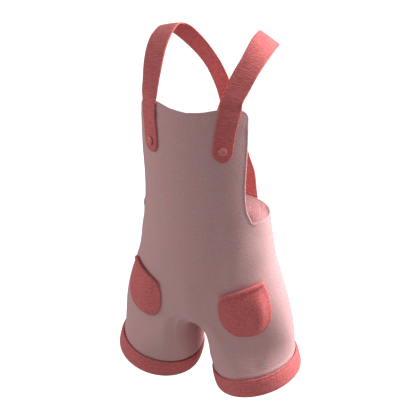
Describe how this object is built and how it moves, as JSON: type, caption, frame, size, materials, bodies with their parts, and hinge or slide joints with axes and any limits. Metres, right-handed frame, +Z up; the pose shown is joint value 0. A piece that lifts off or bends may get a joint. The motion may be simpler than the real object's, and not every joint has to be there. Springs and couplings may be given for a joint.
{
  "type": "child's short overalls",
  "caption": "Short bib overalls in a worn, hollow form: bib and wide trunk in plain cloth, crossing shoulder straps, round hip pockets with rolled hems, rolled leg cuffs.",
  "frame": {"origin": "midway between the shoulders, level with the tops of the straps, where the wearer holds it up", "axes": "+X to the wearer's left, +Y to the wearer's back, +Z up"},
  "size_m": [0.2858, 0.1522, 0.5159],
  "materials": {
    "body_cloth": "matt, heathered",
    "trim_cloth": "matt, crinkled grain",
    "button": "satin"
  },
  "bodies": {
    "root": {"front": "body_cloth", "back": "body_cloth", "strap_left": "trim_cloth", "strap_right": "trim_cloth", "pocket_left": "trim_cloth", "pocket_right": "trim_cloth", "pocket_hem_left": "trim_cloth", "pocket_hem_right": "trim_cloth", "cuff_left": "trim_cloth", "cuff_right": "trim_cloth", "button_left": "button", "button_right": "button"}
  },
  "joints": []
}
